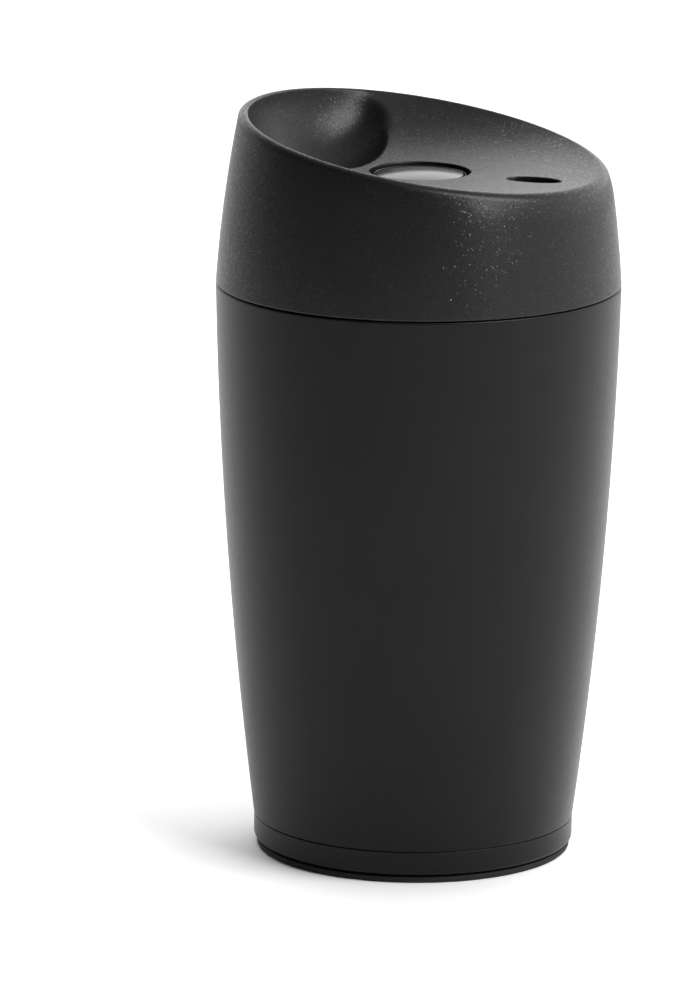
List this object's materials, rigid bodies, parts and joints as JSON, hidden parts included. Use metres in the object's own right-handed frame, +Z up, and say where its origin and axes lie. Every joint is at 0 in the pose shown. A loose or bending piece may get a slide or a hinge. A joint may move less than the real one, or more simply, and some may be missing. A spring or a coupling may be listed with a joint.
{
  "type": "insulated travel mug",
  "caption": "Tapered double-wall travel mug with a screw-on slanted lid, dished top, sip hole and a push button that opens a valve.",
  "frame": {"origin": "centre of the foot's underside, on the surface the mug stands on", "axes": "+Z up along the mug's axis; +X towards the lid's low side, where the sip hole is; the lid is symmetric about the XZ plane"},
  "size_m": [0.084, 0.084, 0.1566],
  "materials": {
    "shell_black": "smooth soft-matte black",
    "lid_black": "fine-grained matte black",
    "button_black": "smooth satin-gloss black",
    "foot_rubber": "matte black anti-slip rubber",
    "inner_plastic": "moulded dark grey",
    "latch_plastic": "natural white acetal",
    "silicone": "translucent grey silicone",
    "liner_steel": "spun and brushed stainless steel",
    "spring_steel": "drawn stainless steel"
  },
  "bodies": {
    "cup": {"foot_pad": "foot_rubber", "base_cap": "shell_black", "cup_shell": "shell_black", "cup_liner": "liner_steel", "liner_seal": "silicone", "threaded_collar": "inner_plastic"},
    "gasket": {"lid_seal": "silicone"},
    "lid": {"lid_shell": "lid_black", "lid_core": "inner_plastic", "lid_joint_seal": "silicone", "latch_housing": "inner_plastic", "return_spring": "spring_steel", "stem_seal": "silicone", "seal_retainer": "inner_plastic"},
    "plunger": {"button_cap": "button_black", "plunger_stem": "spring_steel", "spring_washer": "spring_steel", "valve_disc": "inner_plastic", "valve_seal": "silicone", "valve_screw": "spring_steel"},
    "rotor": {"latch_rotor": "latch_plastic"}
  },
  "joints": [
    {"name": "lid_lift", "type": "slide", "parent": "cup", "child": "gasket", "axis": [0, 0, 1], "range_m": [0, 0.0201]},
    {"name": "lid_turn", "type": "hinge", "parent": "gasket", "child": "lid", "pos_m": [0, 0, 0.12], "axis": [0, 0, 1], "range_deg": [0, 360]},
    {"name": "button_press", "type": "slide", "parent": "lid", "child": "plunger", "axis": [0, 0, -1], "range_m": [0, 0.0045], "stiffness_N_per_m": 600, "springref_m": -0.006, "deforming": ["return_spring"]},
    {"name": "rotor_turn", "type": "hinge", "parent": "plunger", "child": "rotor", "pos_m": [0, 0, 0.129], "axis": [0, 0, 1], "range_deg": [0, 23]}
  ],
  "couplings": [
    {"joint": "lid_lift", "follows": "lid_turn", "m_per_rad": 0.0031831},
    {"joint": "rotor_turn", "follows": "button_press", "rad_per_m": 87.266}
  ]
}
